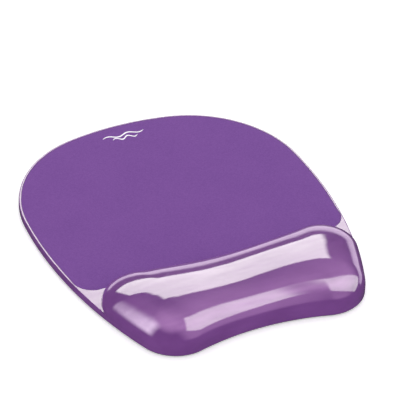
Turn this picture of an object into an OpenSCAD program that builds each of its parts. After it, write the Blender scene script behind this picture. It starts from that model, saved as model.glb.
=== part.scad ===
// Mouse pad with a built-in gel wrist rest, lying on a desk.
// Origin: middle of the footprint, on the desk. +X to the right, +Y to the back, +Z up.
// The user's wrist lies on the gel rest along the -Y edge.

/* [Pad outline] */
// Radius of the flat arc across the back edge
back_radius = 182; // [170:1:195]
// Angle the back arc turns through on each side of the middle
back_turn = 11.5; // [10:0.1:13]
// Radius of the two back corners
back_corner_radius = 79; // [75:1:83]
// Angle each back corner turns through
back_corner_turn = 73.2; // [71:0.1:75]
// Radius of the long sides, which narrow towards the front
side_radius = 313; // [295:1:330]
// Angle each side turns through
side_turn = 26.8; // [25.5:0.1:28]
// Radius of the two front lobes
front_lobe_radius = 27.7; // [26:0.1:30]
// Angle each front lobe turns through before the hollow front edge
front_lobe_turn = 83.4; // [81:0.1:85]

/* [Layers] */
// Thickness of the non-slip backing sheet
backing_thickness = 0.8; // [0.5:0.1:1.2]
// How far the backing stays inside the outline
backing_inset = 0.8; // [0.4:0.1:1.5]
// Thickness of each adhesive film
adhesive_thickness = 0.1; // [0.05:0.05:0.2]
// Height of the pad's deck above the desk
deck_height = 5.9; // [5:0.1:7]
// Radius of the rounded rim along the top of the pad's side wall
rim_radius = 0.8; // [0.5:0.1:1.3]

/* [Tracking surface] */
// Thickness of the woven tracking surface
fabric_thickness = 0.8; // [0.5:0.1:1]
// Width of the rim left around the tracking surface
fabric_inset = 1.5; // [1.4:0.1:2.5]
// Position of the tracking surface's front edge beside the gel rest
fabric_front = -40.5; // [-42:0.5:-39]
// Radius of the tracking surface's two front corners
fabric_corner_radius = 14; // [12:0.5:16]
// Gap between the tracking surface and the foot of the gel rest
fabric_gap = 0.3; // [0.2:0.1:0.6]

/* [Gel rest] */
// Height of the two lobes of the gel rest above the desk
gel_lobe_height = 25.2; // [23:0.1:28]
// Height of the saddle in the middle of the gel rest
gel_saddle_height = 22.8; // [19:0.1:24]
// Position of the gel rest's rear foot at the middle
gel_rear_middle = -44.5; // [-46:0.5:-42]
// Position of the gel rest's rear foot at the lobes
gel_rear_lobe = -39.3; // [-40:0.1:-37]
// Radius of the gel rest's rear corners
gel_corner_radius = 23.5; // [22:0.5:28]
// Position of the crest line that runs along the gel rest
gel_crest = -79.5; // [-82:0.5:-74]
// Half the length of the crest line
gel_crest_half = 49.5; // [40:0.5:54]
// Exponent of the rounded profile: 2 is an ellipse, more is boxier
gel_profile = 2.25; // [1.9:0.05:2.6]
// Thickness of the glossy cover film
film_thickness = 0.6; // [0.4:0.1:0.8]
// Depth of the seat that the gel core fills below the deck
seat_depth = 3.4; // [2:0.1:4]

/* [Printed mark] */
// Length of the printed ripple near the back edge
mark_length = 30; // [20:1:36]
// Position of the printed ripple
mark_back = 104; // [98:1:106]
// Width of one printed stroke
mark_stroke = 1.3; // [0.8:0.1:1.6]

/* [Hidden] */

body_purple = "#5B3A78";
gel_purple = "#8E66A6";
film_lilac = "#B48BC4";
fabric_purple = "#7A5299";
backing_grey = "#3A3440";
adhesive_pale = "#D8D2C4";
ink_white = "#F4F2F6";

eps = 0.01;
arc_steps = 14;         // straight steps that stand for each arc of an outline
gel_stations = 22;      // cross-sections along the crest of the gel rest
gel_rings = 9;          // levels between the foot of the gel rest and its crest
rim_steps = 3;          // levels in the rounded rim of the tray
mark_steps = 36;        // straight steps along the printed ripple
mark_waves = 2;         // full waves in the printed ripple
mark_wave_height = 1.3;
mark_row_gap = 3.4;
short_stroke = 0.6;     // length of the second stroke, as a share of the first
ink_depth = 0.05;       // the print is pressed in flush with the cloth

adhesive_floor = backing_thickness;
tray_floor = adhesive_floor + adhesive_thickness;
recess_floor = deck_height - fabric_thickness - adhesive_thickness;
core_floor = deck_height - seat_depth;

// Angle the whole outline turns past straight back along -X; the hollow front arc undoes it.
over_turn = back_turn + back_corner_turn + side_turn + front_lobe_turn - 180;

// Unit vector to the right of a heading, which is measured clockwise from +X.
function right_of(heading) = [-sin(heading), -cos(heading)];

// Points along one arc that turns right by `turn` degrees, without its first point.
function arc(from, heading, radius, turn) =
    let (centre = from + radius * right_of(heading))
    [for (i = [1 : arc_steps]) centre - radius * right_of(heading + turn * i / arc_steps)];

// Points along a chain of [radius, turn] arcs, each tangent to the one before it.
function chain(from, heading, arcs, i = 0) =
    i == len(arcs) ? [] :
    let (points = arc(from, heading, arcs[i][0], arcs[i][1]))
    concat(points, chain(points[len(points) - 1], heading + arcs[i][1], arcs, i + 1));

// The convex arcs of the right half of the pad's outline, moved in by `inset`.
function outline_arcs(inset) = [
    [back_radius - inset, back_turn],
    [back_corner_radius - inset, back_corner_turn],
    [side_radius - inset, side_turn],
    [front_lobe_radius - inset, front_lobe_turn]];

// The origin lies midway between the back edge and the lowest point of the front lobes.
pad_depth = -min([for (p = chain([0, 0], 0, outline_arcs(0))) p.y]);
back_y = pad_depth / 2;

// Right half of the pad's convex outline, from the middle of the back edge.
function convex_half(inset) =
    let (start = [0, back_y - inset])
    concat([start], chain(start, 0, outline_arcs(inset)));

// The hollow front arc, from the end of the right lobe to the middle.
function hollow_front(from) = chain(from, 180 + over_turn, [[-from.x / sin(over_turn), -over_turn]]);

function last(points) = points[len(points) - 1];
function half_outline(inset) = let (half = convex_half(inset)) concat(half, hollow_front(last(half)));

// A closed outline from its right half, which starts and ends on the Y axis.
function mirrored(half) =
    concat(half, [for (i = [len(half) - 2 : -1 : 1]) [-half[i].x, half[i].y]]);

// Centre of the long side's arc on the right.
side_centre = let (back_arcs = [[back_radius, back_turn], [back_corner_radius, back_corner_turn]])
    last(chain([0, back_y], 0, back_arcs)) + side_radius * right_of(back_turn + back_corner_turn);

// Centre of the gel rest's rear corner: it touches the side of the pad from inside.
gel_corner_y = gel_rear_lobe - gel_corner_radius;
gel_corner_reach = sqrt(pow(side_radius - gel_corner_radius, 2) - pow(gel_corner_y - side_centre.y, 2));
gel_corner = [side_centre.x + gel_corner_reach, gel_corner_y];
// Radius of the hollow rear edge: it touches both rear corners and passes the middle.
gel_hollow_offset = gel_corner_y - gel_rear_middle;
gel_hollow_radius = (pow(gel_corner.x, 2) + pow(gel_hollow_offset, 2) - pow(gel_corner_radius, 2))
    / (2 * (gel_corner_radius + gel_hollow_offset));
gel_hollow_turn = asin(gel_corner.x / (gel_hollow_radius + gel_corner_radius));
// Direction from the side arc's centre to the point where the rear corner meets the side.
gel_side_heading = 90 - atan2(gel_corner.y - side_centre.y, gel_corner.x - side_centre.x);
side_end_heading = back_turn + back_corner_turn + side_turn;

// Right half of the gel rest's foot, from the middle of its rear edge, moved in by `inset`.
function gel_half(inset) =
    let (start = [0, gel_rear_middle - inset],
         convex = concat([start], chain(start, 0, [
             [-gel_hollow_radius - inset, -gel_hollow_turn],
             [gel_corner_radius - inset, gel_hollow_turn + gel_side_heading],
             [side_radius - inset, side_end_heading - gel_side_heading],
             [front_lobe_radius - inset, front_lobe_turn]])))
    concat(convex, hollow_front(last(convex)));

// Height of the crest line above the desk.
function crest_height(x) =
    let (swell = (1 - cos(180 * min(1, abs(x) / gel_crest_half))) / 2)
    gel_saddle_height + (gel_lobe_height - gel_saddle_height) * swell;

// Foot of the gel rest as stations: rear points right to left paired with front points,
// joined by the points round each end.
station_x = [for (i = [0 : gel_stations]) gel_crest_half * (2 * i / gel_stations - 1)];
function gel_ring(inset) =
    let (half = gel_half(inset),
         turn = arc_steps * 2,
         rear = [for (p = half) if (p.y > gel_crest) [p.x, p.y]],
         front = [for (i = [len(half) - 1 : -1 : turn]) if (half[i].y < gel_crest) [half[i].x, half[i].y]],
         right_end = [for (p = half) if (p.x > gel_crest_half) p])
    concat([for (x = station_x) [x, lookup(abs(x), rear)]],
           right_end,
           [for (i = [gel_stations : -1 : 0]) [station_x[i], lookup(abs(station_x[i]), front)]],
           [for (i = [len(right_end) - 1 : -1 : 0]) [-right_end[i].x, right_end[i].y]]);

// The gel rest as one closed solid between `floor_z` and the domed top, moved in by `inset`.
module gel_form(inset, floor_z) {
    foot = gel_ring(inset);
    n = len(foot);
    crest = [for (x = station_x) [x, gel_crest, crest_height(x) - inset]];
    dome = [for (level = [0 : gel_rings - 1]) for (p = foot)
        let (turn = 90 * level / gel_rings,
             reach = pow(cos(turn), 2 / gel_profile),
             rise = pow(sin(turn), 2 / gel_profile),
             top_x = max(-gel_crest_half, min(gel_crest_half, p.x)),
             top_z = crest_height(top_x) - inset)
        [top_x + (p.x - top_x) * reach, gel_crest + (p.y - gel_crest) * reach,
         deck_height + (top_z - deck_height) * rise]];
    sunk = floor_z < deck_height - eps;
    skirt = sunk ? [for (p = foot) [p.x, p.y, floor_z]] : [];
    levels = gel_rings + (sunk ? 1 : 0);
    top = (levels - 1) * n;
    tip = levels * n;
    end_count = (n - 2 * (gel_stations + 1)) / 2;
    right_from = gel_stations;
    front_from = gel_stations + 1 + end_count;
    rear_cap = [for (i = [0 : gel_stations - 1])
        each [[top + i, tip + i + 1, tip + i], [top + i, top + i + 1, tip + i + 1]]];
    front_cap = [for (i = [0 : gel_stations - 1])
        let (a = top + front_from + i, s = tip + gel_stations - i)
        each [[a, s - 1, s], [a, a + 1, s - 1]]];
    right_cap = [for (i = [0 : end_count])
        [top + right_from + i, top + right_from + i + 1, tip + gel_stations]];
    left_cap = [for (i = [0 : end_count])
        let (a = front_from + gel_stations + i)
        [top + a, top + (a + 1) % n, tip]];
    polyhedron(concat(skirt, dome, crest, [[0, gel_crest, floor_z]]),
               concat(ring_walls(n, levels), cap_below(n, 0, tip + len(crest)),
                      rear_cap, front_cap, right_cap, left_cap));
}

// Faces between rings of n points that are stacked one above the other, seen from outside.
function ring_walls(n, rings) = [for (level = [0 : rings - 2]) for (k = [0 : n - 1])
    let (a = level * n + k, b = level * n + (k + 1) % n)
    each [[a, b, b + n], [a, b + n, a + n]]];

// Flat faces from a ring of n points to a middle point, facing down or up.
function cap_below(n, from, middle) = [for (k = [0 : n - 1]) [middle, from + (k + 1) % n, from + k]];
function cap_above(n, from, middle) = [for (k = [0 : n - 1]) [middle, from + k, from + (k + 1) % n]];

// How much of the rim rounding a point gets: none beside the gel rest, all of it behind.
function rim_share(y) = max(0, min(1, (y - gel_corner.y) / (gel_rear_lobe - gel_corner.y)));

// The pad's block with its rounded rim, as one closed solid.
module rimmed_block(from_z, to_z) {
    wall = mirrored(half_outline(0));
    rim = mirrored(half_outline(rim_radius));
    n = len(wall);
    levels = concat([[0, from_z]], [for (i = [0 : rim_steps])
        let (turn = 90 * i / rim_steps)
        [1 - cos(turn), to_z - rim_radius * (1 - sin(turn))]]);
    points = [for (level = levels) for (k = [0 : n - 1])
        let (share = level[0] * rim_share(wall[k].y))
        [each (wall[k] * (1 - share) + rim[k] * share), level[1]]];
    count = len(points);
    polyhedron(concat(points, [[0, 0, from_z], [0, 0, to_z]]),
               concat(ring_walls(n, len(levels)), cap_below(n, 0, count),
                      cap_above(n, count - n, count + 1)));
}

module slab(half, from_z, to_z) {
    translate([0, 0, from_z])
        linear_extrude(to_z - from_z) polygon(mirrored(half));
}

// Plan of the tracking surface; `grow` widens it for its recess.
module fabric_plan(grow) {
    corner_x = last([for (p = half_outline(fabric_inset - grow))
        if (p.y > fabric_front + fabric_corner_radius) p]).x - fabric_corner_radius - grow;
    difference() {
        intersection() {
            polygon(mirrored(half_outline(fabric_inset - grow)));
            union() {
                translate([-pad_depth / 2, fabric_front + fabric_corner_radius]) square(pad_depth);
                translate([-corner_x, fabric_front - grow]) square([2 * corner_x, fabric_corner_radius + 1]);
                translate([-gel_corner.x, gel_corner.y]) square([2 * gel_corner.x, gel_corner_radius]);
                for (side = [-1, 1])
                    translate([side * corner_x, fabric_front + fabric_corner_radius])
                        circle(fabric_corner_radius + grow, $fn = 96);
            }
        }
        polygon(mirrored(gel_half(grow - fabric_gap)));
    }
}

module nonslip_backing() {
    color(backing_grey) slab(half_outline(backing_inset), 0, backing_thickness);
}

module backing_adhesive() {
    color(adhesive_pale) slab(half_outline(backing_inset), adhesive_floor, tray_floor);
}

module base_tray() {
    color(body_purple) difference() {
        rimmed_block(tray_floor, deck_height);
        translate([0, 0, recess_floor]) linear_extrude(fabric_thickness + 1) fabric_plan(fabric_gap / 2);
        slab(gel_half(film_thickness), core_floor, deck_height + 1);
    }
}

module gel_core() {
    color(gel_purple) gel_form(film_thickness, core_floor);
}

module gel_cover() {
    color(film_lilac) difference() {
        gel_form(0, deck_height);
        gel_form(film_thickness, deck_height - 1);
    }
}

module surface_adhesive() {
    color(adhesive_pale)
        translate([0, 0, recess_floor]) linear_extrude(adhesive_thickness) fabric_plan(0);
}

module tracking_surface() {
    color(fabric_purple)
        difference() {
            translate([0, 0, recess_floor + adhesive_thickness])
                linear_extrude(fabric_thickness) fabric_plan(0);
            mark_block(ink_depth + 1);
        }
}

// One wavy stroke, tapered to a point at both ends.
module ripple(length) {
    crest_of = function (x) mark_wave_height * sin(360 * mark_waves * x / length);
    half_width = function (x) mark_stroke / 2 * sqrt(max(0.02, 1 - pow(2 * x / length, 4)));
    xs = [for (i = [0 : mark_steps]) length * (i / mark_steps - 0.5)];
    polygon(concat([for (x = xs) [x, crest_of(x) - half_width(x)]],
                   [for (i = [mark_steps : -1 : 0]) [xs[i], crest_of(xs[i]) + half_width(xs[i])]]));
}

// Both strokes of the print, from its depth in the cloth up.
module mark_block(height) {
    translate([0, mark_back, deck_height - ink_depth]) linear_extrude(height) {
        translate([0, mark_row_gap / 2]) ripple(mark_length);
        translate([0, -mark_row_gap / 2]) ripple(mark_length * short_stroke);
    }
}

module printed_mark() {
    color(ink_white) mark_block(ink_depth);
}

nonslip_backing();
backing_adhesive();
base_tray();
gel_core();
gel_cover();
surface_adhesive();
tracking_surface();
printed_mark();
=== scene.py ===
import math

import bmesh
import bpy
import numpy as np
from mathutils import Matrix, Vector


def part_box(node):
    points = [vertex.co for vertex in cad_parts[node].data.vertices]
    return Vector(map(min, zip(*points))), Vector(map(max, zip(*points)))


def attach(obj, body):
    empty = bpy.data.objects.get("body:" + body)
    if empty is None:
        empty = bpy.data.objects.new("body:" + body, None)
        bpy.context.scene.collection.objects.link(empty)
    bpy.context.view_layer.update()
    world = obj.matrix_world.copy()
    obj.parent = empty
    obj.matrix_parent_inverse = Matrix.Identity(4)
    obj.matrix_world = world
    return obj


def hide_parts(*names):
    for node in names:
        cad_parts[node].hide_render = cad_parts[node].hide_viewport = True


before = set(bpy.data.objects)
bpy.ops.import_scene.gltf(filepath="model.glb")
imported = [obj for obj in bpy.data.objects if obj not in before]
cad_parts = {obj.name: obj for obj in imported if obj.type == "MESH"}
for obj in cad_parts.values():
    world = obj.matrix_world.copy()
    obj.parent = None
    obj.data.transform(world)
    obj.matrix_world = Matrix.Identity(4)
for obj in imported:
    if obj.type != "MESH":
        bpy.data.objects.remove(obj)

# A mouse pad with a built-in gel wrist rest. Metres and degrees, in the frame of the CAD model:
# the middle of the footprint is at the origin, +X is right, +Y is the back and +Z is up.

scene = bpy.context.scene
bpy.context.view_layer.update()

# ---------------------------------------------------------------- sizes

MM = 0.001

# Arcs of the right half of the outline, from the middle of the back edge: radius, turn.
BACK_ARC = (182 * MM, 11.5)
BACK_CORNER_ARC = (79 * MM, 73.2)
SIDE_ARC = (313 * MM, 26.8)
FRONT_LOBE_ARC = (27.7 * MM, 83.4)
OVER_TURN = BACK_ARC[1] + BACK_CORNER_ARC[1] + SIDE_ARC[1] + FRONT_LOBE_ARC[1] - 180
ARC_STEPS = 56                # points along each arc
CLOTH_POINTS = 360            # points round half of the cloth
ROUNDING_TURNS = np.radians(np.linspace(0, 90, 5))      # steps round a small rounded edge
RIM_TURNS = np.radians(np.linspace(0, 90, 9))

BACK_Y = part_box("base_tray")[1].y
TRAY_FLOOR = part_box("base_tray")[0].z
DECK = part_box("tracking_surface")[1].z
CLOTH_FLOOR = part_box("tracking_surface")[0].z
RECESS_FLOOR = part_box("surface_adhesive")[0].z
CORE_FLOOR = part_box("gel_core")[0].z
CORE_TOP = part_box("gel_core")[1].z
BACKING_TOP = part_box("nonslip_backing")[1].z

RIM_RADIUS = 0.8 * MM
FOOT_RADIUS = 0.35 * MM       # rounding along the bottom edge of the tray

BACKING_INSET = 0.8 * MM
TREAD_PITCH = 4 * MM
TREAD_GAP = 0.7 * MM
TREAD_DEPTH = 0.22 * MM
TREAD_TAPER = 0.1 * MM        # how much wider a tread is at its root, on each side
TREAD_ROOT = 0.05 * MM        # how far a tread reaches into the sheet
TREAD_MARGIN = 1.5 * MM       # plain edge round the treads

CLOTH_INSET = 1.5 * MM
CLOTH_FRONT = -40.5 * MM
CLOTH_CORNER = 14 * MM
CLOTH_GAP = 0.3 * MM
CLOTH_EDGE = 0.3 * MM         # rounding along the cut edge of the cloth

GEL_LOBE_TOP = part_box("gel_cover")[1].z
GEL_SADDLE_TOP = 22.8 * MM
GEL_REAR_MIDDLE = -44.5 * MM
GEL_REAR_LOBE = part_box("gel_cover")[1].y
GEL_CORNER = 23.5 * MM
GEL_CREST = -79.5 * MM
GEL_CREST_HALF = 49.5 * MM
GEL_PROFILE = 2.25            # exponent of the rounded profile: 2 is an ellipse
FILM = GEL_LOBE_TOP - CORE_TOP
GEL_STATIONS = 120            # points along the crest line
GEL_LEVELS = 44               # rings from the foot to the crest line

MARK_LENGTH = 30 * MM
MARK_SHORT = 0.6              # length of the short stroke as a share of the long one
MARK_BACK = 104 * MM
MARK_STROKE = 1.3 * MM
MARK_WAVE = 1.3 * MM
MARK_ROW_GAP = 3.4 * MM
MARK_POINTS = 97
INK_SINK = 0.05 * MM          # how far the print soaks into the cloth
INK_STAND = 0.03 * MM

WHITE = (1.0, 1.0, 1.0, 1.0)
WORLD_LEVEL = 0.85
WORLD_GLOSS_LEVEL = 0.05
FLOOR_HALF = 6.0
FLOOR_DROP = 0.05 * MM
FLOOR_GLOW = 0.3
SOFTBOX_DISTANCE = 1.5
LILAC_LIGHT = (1.0, 0.58, 1.0)
PINK_LIGHT = (1.0, 0.84, 1.0)
WARM_LIGHT = (1.0, 0.98, 0.92)
KEY_SIZE = 1.4
KEY_RADIANCE = 1.26
KEY_DISTANCE = 1.8

CAMERA_ANGLES = (-27.036, 37.583, 2.714)        # azimuth, elevation and roll, in degrees
CAMERA_PLACE = (2.9, 0.0122, 0.0147)            # back, to the right and up, from the origin
CAMERA_LENS = 381.2
CAMERA_SENSOR = 36.0

# ---------------------------------------------------------------- outlines


def right_of(heading):
    """Unit vector to the right of a heading, which is measured clockwise from +X."""
    angle = math.radians(heading)
    return np.array([-math.sin(angle), -math.cos(angle)])


def chain(start, heading, arcs):
    """Points along arcs that each turn right and are tangent to the one before."""
    points = [np.array(start, float)]
    for radius, turn in arcs:
        centre = points[-1] + radius * right_of(heading)
        for step in range(1, ARC_STEPS + 1):
            points.append(centre - radius * right_of(heading + turn * step / ARC_STEPS))
        heading += turn
    return points


def hollow_front(lobe_end):
    """The hollow front arc, from the end of the right lobe to the middle."""
    radius = -lobe_end[0] / math.sin(math.radians(OVER_TURN))
    return chain(lobe_end, 180 + OVER_TURN, [(radius, -OVER_TURN)])[1:]


def half_outline(inset):
    """Right half of the pad's outline, moved in by inset, from the middle of the back edge."""
    arcs = (BACK_ARC, BACK_CORNER_ARC, SIDE_ARC, FRONT_LOBE_ARC)
    half = chain((0, BACK_Y - inset), 0, [(radius - inset, turn) for radius, turn in arcs])
    return np.array(half + hollow_front(half[-1]))


def side_centre():
    """Centre of the arc of the long right side."""
    corner = chain((0, BACK_Y), 0, [BACK_ARC, BACK_CORNER_ARC])[-1]
    return corner + SIDE_ARC[0] * right_of(BACK_ARC[1] + BACK_CORNER_ARC[1])


SIDE_CENTRE = side_centre()
GEL_CORNER_Y = GEL_REAR_LOBE - GEL_CORNER
GEL_CORNER_CENTRE = np.array([
    SIDE_CENTRE[0] + math.sqrt((SIDE_ARC[0] - GEL_CORNER) ** 2 - (GEL_CORNER_Y - SIDE_CENTRE[1]) ** 2),
    GEL_CORNER_Y])


def half_gel(inset):
    """Right half of the gel rest's foot, moved in by inset, from the middle of its rear edge."""
    corner = GEL_CORNER_CENTRE
    offset = GEL_CORNER_Y - GEL_REAR_MIDDLE
    hollow = (corner[0] ** 2 + offset ** 2 - GEL_CORNER ** 2) / (2 * (GEL_CORNER + offset))
    hollow_turn = math.degrees(math.asin(corner[0] / (hollow + GEL_CORNER)))
    side_heading = 90 - math.degrees(math.atan2(*(corner - SIDE_CENTRE)[::-1]))
    side_end = BACK_ARC[1] + BACK_CORNER_ARC[1] + SIDE_ARC[1]
    half = chain((0, GEL_REAR_MIDDLE - inset), 0, [
        (-hollow - inset, -hollow_turn),
        (GEL_CORNER - inset, hollow_turn + side_heading),
        (SIDE_ARC[0] - inset, side_end - side_heading),
        (FRONT_LOBE_ARC[0] - inset, FRONT_LOBE_ARC[1])])
    return np.array(half + hollow_front(half[-1]))


def mirrored(half):
    """A closed loop, clockwise from above, from its right half."""
    return np.vstack([half, half[-2:0:-1] * (-1, 1)])


def resampled(path, count):
    """A path of plan points spaced evenly along its length."""
    lengths = np.concatenate([[0], np.cumsum(np.linalg.norm(np.diff(path, axis=0), axis=1))])
    even = np.linspace(0, lengths[-1], count)
    return np.column_stack([np.interp(even, lengths, path[:, axis]) for axis in (0, 1)])


def half_cloth(grow):
    """Right half of the cloth's plan, grown by grow, from the middle of the back edge."""
    outline = half_outline(CLOTH_INSET - grow)
    corner_y = CLOTH_FRONT + CLOTH_CORNER
    side = outline[:np.argmax(outline[:, 1] < corner_y)]
    radius = CLOTH_CORNER + grow
    centre = np.array([side[-1][0] - radius, corner_y])
    corner = [centre + radius * np.array([math.cos(angle), math.sin(angle)])
              for angle in np.linspace(0, -math.pi / 2, ARC_STEPS // 2)[1:]]
    rear = half_gel(grow - CLOTH_GAP)[:2 * ARC_STEPS]
    front = corner[-1][1]
    last = np.argmax(rear[:, 0] * (rear[:, 1] > front))
    rear = rear[:last + 1]
    return resampled(np.vstack([side, corner, rear[::-1]]), CLOTH_POINTS)


# ---------------------------------------------------------------- meshes


def with_z(loop, z):
    """A loop of plan points at a height, which may differ from point to point."""
    return np.column_stack([loop, np.broadcast_to(z, len(loop))])


class Form:
    """Points and faces gathered before they become one mesh."""

    def __init__(self):
        self.points = []
        self.faces = []

    def ring(self, points):
        """Adds a ring of points and gives their numbers."""
        start = len(self.points)
        self.points.extend(map(tuple, points))
        return list(range(start, len(self.points)))

    def wall(self, lower, upper):
        """Quads between two rings with the same number of points."""
        count = len(lower)
        for k in range(count):
            after = (k + 1) % count
            self.faces.append((lower[k], lower[after], upper[after], upper[k]))

    def loft(self, rings):
        """Quads through a list of rings of points; gives the first and last ring's numbers."""
        numbers = [self.ring(points) for points in rings]
        for lower, upper in zip(numbers, numbers[1:]):
            self.wall(lower, upper)
        return numbers[0], numbers[-1]

    def disc(self, ring, middle, rounds):
        """A flat cap of rounds that shrink from a ring to a middle point."""
        edge = np.array([self.points[i] for i in ring])
        hub = np.array([*middle, edge[0][2]])
        outer = ring
        for step in range(1, rounds):
            inner = self.ring(hub + (edge - hub) * (1 - step / rounds))
            self.wall(outer, inner)
            outer = inner
        tip = self.ring([hub])[0]
        for k in range(len(outer)):
            self.faces.append((outer[k], outer[(k + 1) % len(outer)], tip))

    def fill(self, rings):
        """A flat face between an outer ring and the holes in it."""
        flat = bmesh.new()
        corners = {i: flat.verts.new(self.points[i]) for ring in rings for i in ring}
        numbers = {vert: i for i, vert in corners.items()}
        for ring in rings:
            for k in range(len(ring)):
                flat.edges.new((corners[ring[k]], corners[ring[(k + 1) % len(ring)]]))
        bmesh.ops.triangle_fill(flat, use_beauty=True, use_dissolve=False, edges=flat.edges[:],
                                normal=(0, 0, 1))
        for face in flat.faces:
            self.faces.append(tuple(numbers[vert] for vert in face.verts))
        flat.free()


def make_piece(name, form, material, stands_for, sharp=35):
    """One Blender object from a form, riding on the pad and standing for its CAD node."""
    mesh = bpy.data.meshes.new(name)
    mesh.from_pydata(form.points, [], form.faces)
    solid = bmesh.new()
    solid.from_mesh(mesh)
    bmesh.ops.remove_doubles(solid, verts=solid.verts, dist=0.001 * MM)
    bmesh.ops.recalc_face_normals(solid, faces=solid.faces)
    solid.to_mesh(mesh)
    solid.free()
    mesh.shade_smooth()
    mesh.set_sharp_from_angle(angle=math.radians(sharp))
    mesh.materials.append(material)
    piece = bpy.data.objects.new(name, mesh)
    scene.collection.objects.link(piece)
    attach(piece, "root")
    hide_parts(stands_for)
    return piece


# ---------------------------------------------------------------- materials


class Shader:
    """A material round one Principled shader, with short calls for its nodes."""

    def __init__(self, name, **constants):
        self.material = bpy.data.materials.new(name)
        self.material.use_nodes = True
        self.tree = self.material.node_tree
        self.surface = self.tree.nodes["Principled BSDF"]
        for socket, value in constants.items():
            self.surface.inputs[socket.replace("_", " ")].default_value = value
        self.place = self.node("ShaderNodeTexCoord").outputs["Object"]

    def node(self, kind, inputs=None, **settings):
        """A new node with its settings and inputs."""
        made = self.tree.nodes.new(kind)
        for key, value in settings.items():
            setattr(made, key, value)
        for key, value in (inputs or {}).items():
            self.feed(made.inputs[key], value)
        return made

    def feed(self, socket, value):
        """Links an output to a socket, or sets the socket to a constant."""
        if isinstance(value, bpy.types.NodeSocket):
            self.tree.links.new(value, socket)
        else:
            socket.default_value = value

    def noise(self, size, detail=2.0, stretch=(1, 1, 1), rough=0.5):
        """Noise from 0 to 1 with features of about a given size."""
        place = self.node("ShaderNodeMapping", {"Vector": self.place, "Scale": stretch})
        made = self.node("ShaderNodeTexNoise", {
            "Vector": place.outputs[0], "Scale": 1 / size, "Detail": detail, "Roughness": rough})
        return made.outputs["Fac"]

    def map(self, value, low, high, to_low, to_high):
        """A value rescaled from one range to another and clamped to it."""
        return self.node("ShaderNodeMapRange", {
            "Value": value, "From Min": low, "From Max": high,
            "To Min": to_low, "To Max": to_high}).outputs[0]

    def maths(self, operation, first, second):
        """Two values put together."""
        return self.node("ShaderNodeMath", {0: first, 1: second}, operation=operation).outputs[0]

    def mix(self, share, first, second):
        """One colour mixed into another."""
        made = self.node("ShaderNodeMix", data_type="RGBA")
        self.feed(made.inputs["Factor"], share)
        self.feed(made.inputs[6], first)
        self.feed(made.inputs[7], second)
        return made.outputs[2]

    def bump(self, height, depth):
        """Sets the surface relief from a height of 0 to 1 and its depth in metres."""
        made = self.node("ShaderNodeBump", {"Height": height, "Distance": depth, "Strength": 1.0})
        self.feed(self.surface.inputs["Normal"], made.outputs[0])
        return made.outputs[0]

    def colour(self, value):
        """Sets the surface's colour."""
        self.feed(self.surface.inputs["Base Color"], value)

    def roughness(self, value):
        """Sets the surface's roughness."""
        self.feed(self.surface.inputs["Roughness"], value)


def srgb(red, green, blue):
    """A linear colour from 0-255 display values."""
    def linear(value):
        value /= 255
        return value / 12.92 if value <= 0.04045 else ((value + 0.055) / 1.055) ** 2.4
    return (linear(red), linear(green), linear(blue), 1.0)


GEL_PURPLE = srgb(111, 62, 131)
GEL_LILAC = srgb(119, 69, 139)


def film_material():
    """Glossy film over purple gel, slightly cloudy and drawn lengthwise."""
    shader = Shader("glossy_film", Coat_Roughness=0.03, Coat_IOR=1.9, Specular_IOR_Level=0.05)
    cloudy = shader.map(shader.noise(16 * MM, 3, (0.45, 1, 1)), 0.35, 0.65, 0, 1)
    shader.colour(shader.mix(cloudy, GEL_PURPLE, GEL_LILAC))
    shader.roughness(shader.map(shader.noise(3 * MM, 2), 0.3, 0.7, 0.3, 0.45))
    streaks = shader.noise(3.5 * MM, 3, (0.12, 1, 1), rough=0.6)
    shader.feed(shader.surface.inputs["Coat Weight"], shader.map(streaks, 0.3, 0.75, 1.0, 0.78))
    fine = shader.noise(9 * MM, 2, (0.3, 1, 1))
    relief = shader.bump(fine, 0.045 * MM)
    shader.feed(shader.surface.inputs["Coat Normal"], relief)
    return shader.material


def cloth_material():
    """Fine printed knit: crossed yarns, a mottled grain and a slight nap."""
    shader = Shader("fine_knit", Sheen_Weight=0.04, Sheen_Roughness=0.4, Specular_IOR_Level=0.05)
    pitch = 0.55 * MM
    bands = math.pi / (10 * pitch)      # a wave node's bands are pi / 10 apart at a scale of 1
    across, along = [shader.node("ShaderNodeTexWave", {
        "Vector": shader.place, "Scale": bands, "Distortion": 0.6, "Detail": 1.0},
        wave_type="BANDS", bands_direction=axis).outputs["Fac"] for axis in "XY"]
    yarns = shader.maths("MULTIPLY", across, along)
    grain = shader.noise(0.9 * MM, 3, rough=0.6)
    patches = shader.noise(28 * MM, 2)
    base = shader.mix(shader.map(patches, 0.3, 0.7, 0, 1), srgb(120, 77, 152), srgb(127, 83, 158))
    speckle = shader.mix(shader.map(grain, 0.3, 0.7, 0, 1), srgb(112, 70, 143), srgb(137, 92, 168))
    dyed = shader.mix(0.55, base, speckle)
    shader.colour(shader.mix(shader.map(yarns, 0, 1, 0.22, 0), dyed, srgb(92, 54, 122)))
    shader.roughness(shader.map(grain, 0, 1, 0.78, 0.95))
    shader.bump(shader.maths("ADD", yarns, grain), 0.06 * MM)
    return shader.material


def rubber_material():
    """Dark foamed rubber with a fine pebbled skin."""
    shader = Shader("foamed_rubber", Specular_IOR_Level=0.35)
    pores = shader.noise(0.7 * MM, 4, rough=0.65)
    tint = shader.noise(20 * MM, 3)
    dark = shader.mix(shader.map(tint, 0.3, 0.7, 0, 1), srgb(42, 37, 48), srgb(54, 48, 60))
    shader.colour(shader.mix(shader.map(pores, 0.35, 0.7, 0, 0.5), dark, srgb(78, 72, 84)))
    shader.roughness(shader.map(pores, 0, 1, 0.65, 0.9))
    shader.bump(pores, 0.12 * MM)
    return shader.material


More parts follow.
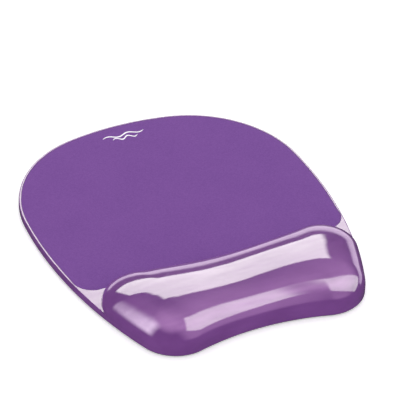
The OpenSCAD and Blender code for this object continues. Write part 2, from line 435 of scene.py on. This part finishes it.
def gel_material():
    """Soft clear gel with small trapped bubbles."""
    shader = Shader("soft_gel", Subsurface_Weight=0.3, Subsurface_Radius=(4 * MM, 2 * MM, 5 * MM),
                    Subsurface_Scale=1.0)
    bubbles = shader.node("ShaderNodeTexVoronoi", {"Vector": shader.place, "Scale": 1 / (5 * MM)})
    specks = shader.map(bubbles.outputs["Distance"], 0.05, 0.12, 1, 0)
    cloudy = shader.mix(shader.noise(14 * MM, 3), GEL_PURPLE, GEL_LILAC)
    shader.colour(shader.mix(specks, cloudy, srgb(200, 178, 214)))
    shader.roughness(shader.map(specks, 0, 1, 0.3, 0.1))
    return shader.material


def adhesive_material():
    """Milky transfer adhesive, a little streaky from the roller."""
    shader = Shader("transfer_adhesive")
    streaks = shader.noise(4 * MM, 3, (1, 0.1, 1))
    shader.colour(shader.mix(streaks, srgb(206, 200, 186), srgb(224, 219, 206)))
    shader.roughness(shader.map(streaks, 0.2, 0.8, 0.35, 0.6))
    return shader.material


def ink_material():
    """White screen print that lets a little of the knit through."""
    shader = Shader("white_print", Specular_IOR_Level=0.4)
    grain = shader.noise(0.8 * MM, 3, rough=0.6)
    worn = shader.map(grain, 0.55, 0.8, 0, 0.35)
    shader.colour(shader.mix(worn, srgb(244, 241, 247), srgb(205, 190, 218)))
    shader.roughness(shader.map(grain, 0, 1, 0.45, 0.65))
    shader.bump(grain, 0.03 * MM)
    return shader.material


# ---------------------------------------------------------------- the pad's pieces


def rim_share(y):
    """How much rounding the rim has: none beside the gel rest, all of it behind."""
    return np.clip((y - GEL_CORNER_Y) / (GEL_REAR_LOBE - GEL_CORNER_Y), 0, 1)


def make_tray(material):
    """The moulded body: side wall, rounded rim, recess for the cloth and seat for the gel."""
    form = Form()
    wall = mirrored(half_outline(0))
    rim = mirrored(half_outline(RIM_RADIUS))
    foot = mirrored(half_outline(FOOT_RADIUS))
    rings = []
    for turn in ROUNDING_TURNS:
        inward = 1 - math.sin(turn)
        height = TRAY_FLOOR + FOOT_RADIUS * (1 - math.cos(turn))
        rings.append(with_z(wall + (foot - wall) * inward, height))
    share = rim_share(wall[:, 1])[:, None]
    for turn in RIM_TURNS:
        inward = (1 - math.cos(turn)) * share
        rings.append(with_z(wall + (rim - wall) * inward, DECK - RIM_RADIUS * (1 - math.sin(turn))))
    bottom, top = form.loft(rings)
    form.disc(bottom, (0, 0), 3)
    recess = mirrored(half_cloth(CLOTH_GAP / 2))
    recess_top, recess_bottom = form.loft([with_z(recess, DECK), with_z(recess, RECESS_FLOOR)])
    form.disc(recess_bottom, (0, BACK_Y / 3), 3)
    seat = mirrored(half_gel(FILM))
    seat_top, seat_bottom = form.loft([with_z(seat, DECK), with_z(seat, CORE_FLOOR)])
    form.disc(seat_bottom, (0, GEL_CREST), 3)
    form.fill([top, recess_top, seat_top])
    make_piece("tray_body", form, material, "base_tray")


def crest_height(x):
    """Height of the crest line that runs along the gel rest, over the desk."""
    swell = (1 - np.cos(np.pi * np.clip(np.abs(x) / GEL_CREST_HALF, 0, 1))) / 2
    return GEL_SADDLE_TOP + (GEL_LOBE_TOP - GEL_SADDLE_TOP) * swell


def gel_foot(inset):
    """The gel rest's foot: rear and front points in pairs, joined by those round each end."""
    half = half_gel(inset)
    stations = np.linspace(-GEL_CREST_HALF, GEL_CREST_HALF, GEL_STATIONS + 1)
    rear = half[half[:, 1] > GEL_CREST]
    front = half[2 * ARC_STEPS:][::-1]
    front = front[front[:, 1] < GEL_CREST]
    rear_y = np.interp(np.abs(stations), *rear[: np.argmax(rear[:, 0])].T)
    front_y = np.interp(np.abs(stations), *front[: np.argmax(front[:, 0])].T)
    end = half[half[:, 0] > GEL_CREST_HALF]
    return np.vstack([np.column_stack([stations, rear_y]), end,
                      np.column_stack([stations, front_y])[::-1], end[::-1] * (-1, 1)])


def gel_dome(inset):
    """Rings of the domed top of the gel rest, from its foot to its crest line."""
    foot = gel_foot(inset)
    top_x = np.clip(foot[:, 0], -GEL_CREST_HALF, GEL_CREST_HALF)
    rise = crest_height(top_x) - inset - DECK
    rings = []
    for turn in np.radians(np.linspace(0, 90, GEL_LEVELS + 1)):
        reach = max(0, math.cos(turn)) ** (2 / GEL_PROFILE)
        lift = math.sin(turn) ** (2 / GEL_PROFILE)
        rings.append(np.column_stack([
            top_x + (foot[:, 0] - top_x) * reach,
            GEL_CREST + (foot[:, 1] - GEL_CREST) * reach,
            DECK + rise * lift]))
    return rings


def make_film(material):
    """The glossy film moulded over the gel, as a thin shell that stands on the tray."""
    form = Form()
    outer_foot, _ = form.loft(gel_dome(0))
    inner_foot, _ = form.loft(gel_dome(FILM))
    form.wall(outer_foot, inner_foot)
    film = make_piece("gel_film", form, material, "gel_cover", sharp=60)


def make_gel(material):
    """The soft gel that fills the film and the seat in the tray."""
    form = Form()
    dome = gel_dome(FILM)
    foot, _ = form.loft([with_z(dome[0][:, :2], CORE_FLOOR)] + dome)
    form.disc(foot, (0, GEL_CREST), 4)
    gel = make_piece("gel_body", form, material, "gel_core", sharp=60)


def make_cloth(material):
    """The sheet of fine knit that the mouse slides on, laid in the tray's recess."""
    form = Form()
    edge = mirrored(half_cloth(0))
    pulled = mirrored(half_cloth(-CLOTH_EDGE))
    rings = [with_z(edge, CLOTH_FLOOR)]
    for turn in ROUNDING_TURNS:
        inward = 1 - math.cos(turn)
        height = DECK - CLOTH_EDGE * (1 - math.sin(turn))
        rings.append(with_z(edge + (pulled - edge) * inward, height))
    bottom, top = form.loft(rings)
    form.disc(bottom, (0, BACK_Y / 3), 4)
    form.disc(top, (0, BACK_Y / 3), 16)
    cloth = make_piece("mouse_cloth", form, material, "tracking_surface")


def make_backing(material):
    """The rubber sheet under the tray, with a grid of small square treads."""
    form = Form()
    edge = mirrored(half_outline(BACKING_INSET))
    low, high = form.loft([with_z(edge, TREAD_DEPTH), with_z(edge, BACKING_TOP)])
    form.disc(low, (0, 0), 4)
    form.disc(high, (0, 0), 4)
    inner = mirrored(half_outline(BACKING_INSET + TREAD_MARGIN))
    reach_x, reach_y = inner.max(axis=0)
    columns = int(reach_x / TREAD_PITCH) + 1
    rows = int(reach_y / TREAD_PITCH) + 1
    corners = np.array([(-1, -1), (-1, 1), (1, 1), (1, -1)])
    half = (TREAD_PITCH - TREAD_GAP) / 2
    for column in range(-columns, columns + 1):
        for row in range(-rows, rows + 1):
            middle = np.array([column * TREAD_PITCH, row * TREAD_PITCH])
            root = middle + (half + TREAD_TAPER) * corners
            if not all(inside(corner, inner) for corner in root):
                continue
            face = middle + half * corners
            top, bottom = form.loft([with_z(root, TREAD_DEPTH + TREAD_ROOT), with_z(face, 0)])
            form.faces.append(tuple(bottom))
            form.faces.append(tuple(top[::-1]))
    make_piece("grip_backing", form, material, "nonslip_backing")


def inside(point, loop):
    """Whether a plan point lies inside a closed loop."""
    after = np.roll(loop, -1, axis=0)
    spans = (loop[:, 1] > point[1]) != (after[:, 1] > point[1])
    slope = (after[:, 0] - loop[:, 0]) / np.where(spans, after[:, 1] - loop[:, 1], 1)
    return bool((spans & (point[0] < loop[:, 0] + slope * (point[1] - loop[:, 1]))).sum() % 2)


def make_print(material):
    """Two wavy strokes printed near the back edge, as a thin raised ink film."""
    form = Form()
    low = DECK - INK_SINK
    high = DECK + INK_STAND
    for length, row in ((MARK_LENGTH, 0.5), (MARK_SHORT * MARK_LENGTH, -0.5)):
        sections = []
        for x in np.linspace(-0.5, 0.5, MARK_POINTS) * length:
            y = MARK_BACK + row * MARK_ROW_GAP + MARK_WAVE * math.sin(4 * math.pi * x / length)
            half = MARK_STROKE / 2 * math.sqrt(max(0.02, 1 - (2 * x / length) ** 4))
            sections.append([(x, y - half, low), (x, y - 0.85 * half, high),
                             (x, y + 0.85 * half, high), (x, y + half, low)])
        first, last = form.loft(sections)
        form.faces.append(tuple(first))
        form.faces.append(tuple(last))
    make_piece("cloth_print", form, material, "printed_mark")


# ---------------------------------------------------------------- stage


def aim(obj, place, target, roll):
    """Puts a light at a place, turns its face to a target and rolls it about its axis."""
    turn = (Vector(target) - Vector(place)).to_track_quat("-Z", "Y").to_matrix().to_4x4()
    obj.matrix_world = Matrix.Translation(place) @ turn @ Matrix.Rotation(math.radians(roll), 4, "Z")


def from_compass(azimuth, elevation, distance, target):
    """A place seen from a target at an azimuth, clockwise from +Y, and an elevation."""
    azimuth, elevation = math.radians(azimuth), math.radians(elevation)
    towards = Vector((math.sin(azimuth) * math.cos(elevation), math.cos(azimuth) * math.cos(elevation),
                      math.sin(elevation)))
    return Vector(target) + distance * towards


def softbox(name, azimuth, elevation, size, radiance, fade, roll, colour):
    """A rectangular light for gloss only; fade is the share of each side over which it dims."""
    light = bpy.data.lights.new(name, "AREA")
    light.shape = "RECTANGLE"
    light.size, light.size_y = size
    light.color = colour
    light.energy = radiance * math.pi * size[0] * size[1]
    light.use_nodes = True
    tree = light.node_tree
    place = tree.nodes.new("ShaderNodeNewGeometry")
    split = tree.nodes.new("ShaderNodeSeparateXYZ")
    tree.links.new(place.outputs["Parametric"], split.inputs[0])
    level = tree.nodes.new("ShaderNodeMath")
    level.operation = "MULTIPLY"
    for number, (axis, width) in enumerate(zip("XY", fade)):
        tree.links.new(dimmed(tree, split.outputs[axis], width), level.inputs[number])
    tree.links.new(level.outputs[0], tree.nodes["Emission"].inputs["Strength"])
    lamp = bpy.data.objects.new(name, light)
    scene.collection.objects.link(lamp)
    target = (0, GEL_CREST, DECK)
    aim(lamp, from_compass(azimuth, elevation, SOFTBOX_DISTANCE, target), target, roll)
    lamp.visible_camera = False
    lamp.visible_diffuse = False


def dimmed(tree, across, width):
    """A level of 1 that falls to 0 over a width at both ends of a direction from 0 to 1."""
    from_middle = tree.nodes.new("ShaderNodeMath")
    from_middle.operation = "SUBTRACT"
    tree.links.new(across, from_middle.inputs[0])
    from_middle.inputs[1].default_value = 0.5
    distance = tree.nodes.new("ShaderNodeMath")
    distance.operation = "ABSOLUTE"
    tree.links.new(from_middle.outputs[0], distance.inputs[0])
    ramp = tree.nodes.new("ShaderNodeMapRange")
    ramp.interpolation_type = "SMOOTHSTEP"
    tree.links.new(distance.outputs[0], ramp.inputs["Value"])
    ramp.inputs["From Min"].default_value = 0.5 - width
    ramp.inputs["From Max"].default_value = 0.5
    ramp.inputs["To Min"].default_value = 1.0
    ramp.inputs["To Max"].default_value = 0.0
    return ramp.outputs[0]


def make_world():
    """Even white surroundings, which gloss hardly shows."""
    world = bpy.data.worlds.new("studio")
    world.use_nodes = True
    tree = world.node_tree
    rays = tree.nodes.new("ShaderNodeLightPath")
    level = tree.nodes.new("ShaderNodeMapRange")
    level.inputs["To Min"].default_value = WORLD_LEVEL
    level.inputs["To Max"].default_value = WORLD_GLOSS_LEVEL
    tree.links.new(rays.outputs["Is Glossy Ray"], level.inputs["Value"])
    tree.links.new(level.outputs[0], tree.nodes["Background"].inputs["Strength"])
    tree.nodes["Background"].inputs["Color"].default_value = WHITE
    scene.world = world


def make_floor():
    """Pale floor, just under the pad and a little bright of itself."""
    shader = Shader("pale_floor", Specular_IOR_Level=0.2, Emission_Color=WHITE,
                    Emission_Strength=FLOOR_GLOW)
    tone = shader.noise(0.4, 2)
    shader.colour(shader.mix(tone, (0.93, 0.93, 0.935, 1), (0.95, 0.95, 0.955, 1)))
    shader.roughness(shader.map(tone, 0, 1, 0.75, 0.85))
    form = Form()
    corners = np.array([(-1, -1), (1, -1), (1, 1), (-1, 1)])
    form.faces.append(tuple(form.ring(with_z(FLOOR_HALF * corners, -FLOOR_DROP))))
    mesh = bpy.data.meshes.new("floor")
    mesh.from_pydata(form.points, [], form.faces)
    mesh.materials.append(shader.material)
    floor = bpy.data.objects.new("floor", mesh)
    floor.visible_glossy = False
    scene.collection.objects.link(floor)


def make_softboxes():
    """The lights that the glossy film and tray mirror."""
    softbox("rear_softbox", 10, 37.5, (1.5, 0.76), 5.2, (0.1, 0.08), 9, WARM_LIGHT)
    softbox("right_softbox", 111, 41, (1.3, 2.15), 3.7, (0.12, 0.1), 20, WARM_LIGHT)
    softbox("front_softbox", 147, 42, (2.4, 2.4), 1.3, (0.41, 0.24), -13, LILAC_LIGHT)
    softbox("overhead_softbox", -95, 78, (2.4, 2.2), 2.4, (0.45, 0.45), 10, LILAC_LIGHT)
    softbox("left_softbox", -80, 31, (1.2, 2.2), 6.0, (0.48, 0.38), 10, PINK_LIGHT)
    softbox("right_fill", 80, 51, (2.6, 2.4), 1.5, (0.5, 0.4), -11, LILAC_LIGHT)
    softbox("low_panel", 40, 2, (4.2, 0.7), 2.1, (0.1, 0.3), 0, PINK_LIGHT)


def make_key():
    """A broad soft light from above and behind that lights matt surfaces only."""
    light = bpy.data.lights.new("key", "AREA")
    light.size = KEY_SIZE
    light.energy = KEY_RADIANCE * math.pi * KEY_SIZE ** 2
    lamp = bpy.data.objects.new("key", light)
    scene.collection.objects.link(lamp)
    aim(lamp, from_compass(20, 62, KEY_DISTANCE, (0, 0, 0)), (0, 0, 0), 0)
    lamp.visible_camera = False
    lamp.visible_glossy = False


def make_camera():
    """Camera in front of the pad and to its left, far away with a long lens."""
    azimuth, elevation, roll = np.radians(CAMERA_ANGLES)
    back = Vector((math.sin(azimuth) * math.cos(elevation), -math.cos(azimuth) * math.cos(elevation),
                   math.sin(elevation)))
    level = Vector((math.cos(azimuth), math.sin(azimuth), 0))
    over = back.cross(level)
    right = level * math.cos(roll) + over * math.sin(roll)
    up = over * math.cos(roll) - level * math.sin(roll)
    camera = bpy.data.cameras.new("camera")
    camera.lens = CAMERA_LENS
    camera.sensor_width = CAMERA_SENSOR
    camera.clip_end = 20.0
    holder = bpy.data.objects.new("camera", camera)
    scene.collection.objects.link(holder)
    place = back * CAMERA_PLACE[0] + right * CAMERA_PLACE[1] + up * CAMERA_PLACE[2]
    turn = Matrix((right, up, back)).transposed().to_4x4()
    holder.matrix_world = Matrix.Translation(place) @ turn
    scene.camera = holder


# ---------------------------------------------------------------- the scene

make_camera()
make_world()
make_floor()
make_softboxes()
make_key()
scene.view_settings.view_transform = "Standard"

film = film_material()
make_tray(film)
make_film(film)
make_gel(gel_material())
make_cloth(cloth_material())
make_backing(rubber_material())
make_print(ink_material())
adhesive = adhesive_material()
for node in ("backing_adhesive", "surface_adhesive"):
    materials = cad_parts[node].data.materials
    materials.clear()
    materials.append(adhesive)
